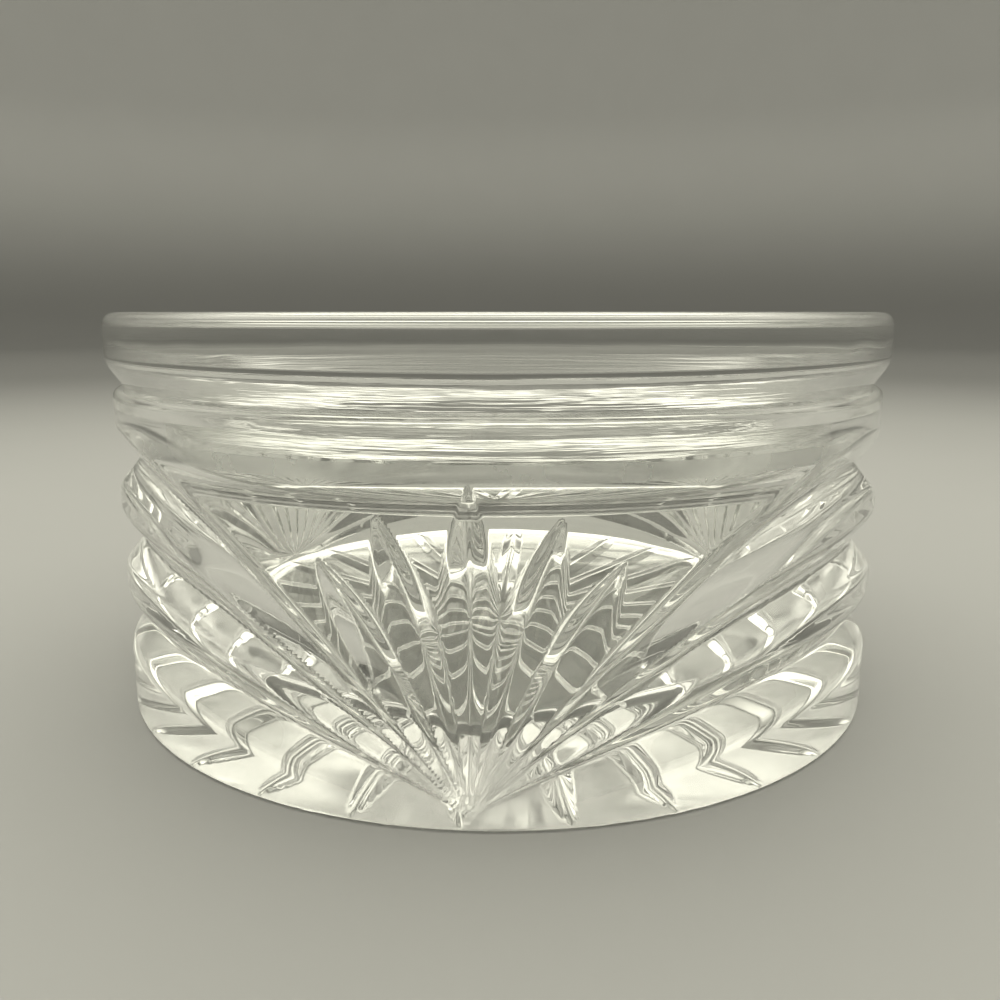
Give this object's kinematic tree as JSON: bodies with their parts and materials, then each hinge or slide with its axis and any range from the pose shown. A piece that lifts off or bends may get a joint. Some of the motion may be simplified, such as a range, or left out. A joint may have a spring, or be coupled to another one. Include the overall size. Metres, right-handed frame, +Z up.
{
  "type": "lidded glass box",
  "caption": "Round drum-shaped box of clear cut glass with fans and arches round the wall, and a loose flat lid that lifts off.",
  "frame": {"origin": "centre of the foot, on the surface that the box stands on", "axes": "+Z up along the box's axis; -Y towards the front, where one of the three cut fans stands"},
  "size_m": [0.1286, 0.1286, 0.0621],
  "materials": {
    "clear_glass": "clear polished crystal, with a near-colourless grey-green edge tint"
  },
  "bodies": {
    "base": {"glass_base": "clear_glass"},
    "lid": {"glass_lid": "clear_glass"}
  },
  "joints": [
    {"name": "lid_lift", "type": "slide", "parent": "base", "child": "lid", "axis": [0, 0, 1], "range_m": [0, 0.08]}
  ]
}
